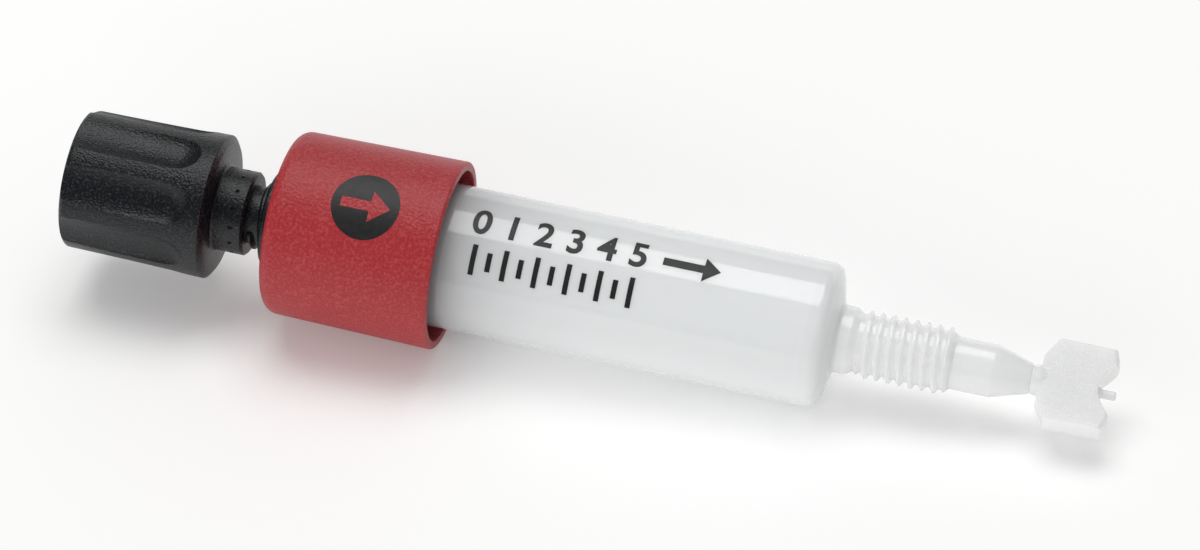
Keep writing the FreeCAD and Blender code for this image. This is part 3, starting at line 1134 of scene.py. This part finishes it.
class COLUMN_OT_collar_mark(bpy.types.Operator):
    """Print a plain disc with a flow arrow on the collar"""
    bl_idname = "column.collar_mark"
    bl_label = "Mark on the collar"

    def execute(self, context):
        group = sizes().prints
        radius = group.disc_radius
        depth = group.mark_depth
        disc = turned("disc", [
            (-depth / 2, 0, 0),
            (-depth / 2, radius, 0),
            (depth / 2, radius, 0),
            (depth / 2, 0, 0),
        ], steps=MIDDLE_STEPS)
        placed(disc, Matrix.Rotation(math.pi / 2, 4, "Y"))
        arrow = flow_arrow("arrow_cutter", group.arrow_length, group.arrow_width, 2 * depth)
        combined(disc, arrow, "DIFFERENCE")
        station = group.disc_station
        placed(disc, facing(station, collar_radius(station), group.disc_turn))
        start = station - 2 * radius
        end = station + 2 * radius
        mark = printed("collar_print", [disc], start, end, collar_radius, COLLAR_STEPS)
        handed_over(mark, "column", printed_ink())
        return {"FINISHED"}


def scale_lines():
    """Models the lines of the scale, long where a number stands."""
    group = sizes().prints
    half = group.tick_width / 2
    lines = []
    for index in range(2 * group.number_count - 1):
        reach = (group.tick_length if index % 2 else group.long_tick_length) / 2
        corners = [(-half, -reach, 0), (half, -reach, 0), (half, reach, 0), (-half, reach, 0)]
        line = slab("scale_line", corners, group.mark_depth)
        station = group.scale_start + index * group.scale_step
        lines.append(placed(line, facing(station, tube_radius(station), group.scale_turn)))
    return lines


def scale_numbers():
    """Models the numbers over the long lines, from nothing up."""
    group = sizes().prints
    digits = []
    for index in range(group.number_count):
        select_nothing()
        bpy.ops.object.text_add(location=(0, 0, 0))
        digit = bpy.context.active_object
        digit.data.body = str(index)
        digit.data.align_x = "CENTER"
        digit.data.align_y = "CENTER"
        digit.data.size = group.number_height * TEXT_SIZE_TO_DIGIT
        digit.data.extrude = group.mark_depth / 2
        digit.data.offset = group.number_weight
        bpy.ops.object.convert(target="MESH")
        merged(digit)
        station = group.scale_start + 2 * index * group.scale_step
        digits.append(placed(digit, facing(station, tube_radius(station), group.number_turn)))
    return digits


class COLUMN_OT_scale(bpy.types.Operator):
    """Print a plain scale with numbers and a flow arrow on the barrel"""
    bl_idname = "column.scale"
    bl_label = "Scale on the barrel"

    def execute(self, context):
        group = sizes().prints
        at = stations()
        arrow = flow_arrow("flow_arrow", group.flow_arrow_length, group.flow_arrow_width,
                           group.mark_depth)
        station = group.flow_arrow_station
        placed(arrow, facing(station, tube_radius(station), group.number_turn))
        marks = scale_lines() + scale_numbers() + [arrow]
        piece = printed("barrel_print", marks, at.collar_rim, at.bed_end, tube_radius, TURN_STEPS)
        handed_over(piece, "column", printed_ink())
        return {"FINISHED"}


def studio_floor():
    """Lays a pale floor that shows as white and keeps the shadow."""
    group = sizes().stage
    select_nothing()
    bpy.ops.mesh.primitive_plane_add(size=group.floor_width, location=(0, 0, 0))
    floor = bpy.context.active_object
    floor.name = "studio_floor"
    finish = Finish("studio_floor", Base_Color=(*sizes().colours.floor, 1), Roughness=0.9,
                    Specular_IOR_Level=0.0)
    seen, mirrored, seen_through = [finish.node("ShaderNodeLightPath", output=f"Is {kind} Ray")
                                    for kind in ("Camera", "Glossy", "Transmission")]
    strength = (seen + mirrored + seen_through) * group.glow
    glow = finish.node("ShaderNodeEmission", {}, {"Color": (1, 1, 1, 1), "Strength": strength})
    both = finish.node("ShaderNodeAddShader", {}, {0: Value(finish, finish.shader.outputs[0]), 1: glow})
    output = next(node for node in finish.tree.nodes if node.type == "OUTPUT_MATERIAL")
    finish.tree.links.new(both.socket, output.inputs["Surface"])
    floor.data.materials.append(finish.material)


def studio_sky():
    """Sets the even light that comes from all round, of which gloss shows little, as in a dark room."""
    group = sizes().stage
    world = bpy.data.worlds.new("studio_sky")
    bpy.context.scene.world = world
    world.use_nodes = True
    tree = world.node_tree
    sky = next(node for node in tree.nodes if node.type == "BACKGROUND")
    sky.inputs["Color"].default_value = (1, 1, 1, 1)
    path = tree.nodes.new("ShaderNodeLightPath")
    dim = tree.nodes.new("ShaderNodeMapRange")
    dim.inputs["To Min"].default_value = group.sky
    dim.inputs["To Max"].default_value = group.room
    tree.links.new(path.outputs["Is Glossy Ray"], dim.inputs["Value"])
    tree.links.new(dim.outputs["Result"], sky.inputs["Strength"])


def lamp(name, place, width, height, power):
    """Hangs a flat lamp that looks at the origin."""
    bpy.ops.object.light_add(type="AREA", location=place)
    light = bpy.context.active_object
    light.name = name
    light.data.shape = "RECTANGLE"
    light.data.size = width
    light.data.size_y = height
    light.data.energy = power
    light.rotation_euler = (-Vector(place)).to_track_quat("-Z", "Y").to_euler()
    return light


class COLUMN_OT_stage(bpy.types.Operator):
    """Set the floor, the lamps and the camera"""
    bl_idname = "column.stage"
    bl_label = "Studio"

    def execute(self, context):
        group = sizes().stage
        studio_floor()
        studio_sky()
        # Each lamp's name, place, width, height and power.
        lamps = [
            ("softbox", (-0.06, 0.09, 0.5), 0.44, 0.3, group.softbox_power),
            ("low_back_lamp", (0.0, 0.6, 0.12), 1.2, 0.22, group.back_power),
            ("front_fill", (-0.25, -0.6, 0.2), 1.0, 0.3, group.fill_power),
        ]
        for name, place, width, height, power in lamps:
            light = lamp(name, place, width, height, power)
            light.visible_glossy = name != "front_fill"
        bpy.ops.object.camera_add(location=group.camera_place)
        camera = bpy.context.active_object
        camera.data.lens = group.lens
        camera.data.clip_start = 10 * MILLIMETRE
        camera.rotation_euler = (math.pi / 2 - group.elevation, 0, group.azimuth)
        context.scene.camera = camera
        context.scene.view_settings.view_transform = "Standard"
        return {"FINISHED"}


OPERATORS = [
    COLUMN_OT_stopper,
    COLUMN_OT_adapter,
    COLUMN_OT_collar,
    COLUMN_OT_barrel,
    COLUMN_OT_filling,
    COLUMN_OT_collar_mark,
    COLUMN_OT_scale,
    COLUMN_OT_stage,
]


class COLUMN_PT_panel(bpy.types.Panel):
    """Lists the pieces of the column and their sizes"""
    bl_idname = "COLUMN_PT_panel"
    bl_label = "Column"
    bl_space_type = "VIEW_3D"
    bl_region_type = "UI"
    bl_category = "Column"

    def draw(self, context):
        for operator in OPERATORS:
            self.layout.operator(operator.bl_idname)
        settings = context.scene.column_sizes
        for name in settings.bl_rna.properties.keys():
            group = getattr(settings, name)
            if not isinstance(group, bpy.types.PropertyGroup):
                continue
            box = self.layout.box()
            box.label(text=name.capitalize())
            for prop in group.bl_rna.properties.keys():
                if prop not in ("rna_type", "name"):
                    box.prop(group, prop)


CLASSES = [
    StopperSizes,
    CollarSizes,
    BarrelSizes,
    OutletSizes,
    TabSizes,
    PrintSizes,
    Colours,
    StageSettings,
    ColumnSettings,
    *OPERATORS,
    COLUMN_PT_panel,
]


def register():
    for each in CLASSES:
        bpy.utils.register_class(each)
    bpy.types.Scene.column_sizes = PointerProperty(type=ColumnSettings)


def unregister():
    del bpy.types.Scene.column_sizes
    for each in reversed(CLASSES):
        bpy.utils.unregister_class(each)


def main():
    register()
    bpy.ops.column.stopper()
    bpy.ops.column.adapter()
    bpy.ops.column.collar()
    bpy.ops.column.barrel()
    bpy.ops.column.filling()
    bpy.ops.column.collar_mark()
    bpy.ops.column.scale()
    bpy.ops.column.stage()


if __name__ == "__main__":
    main()
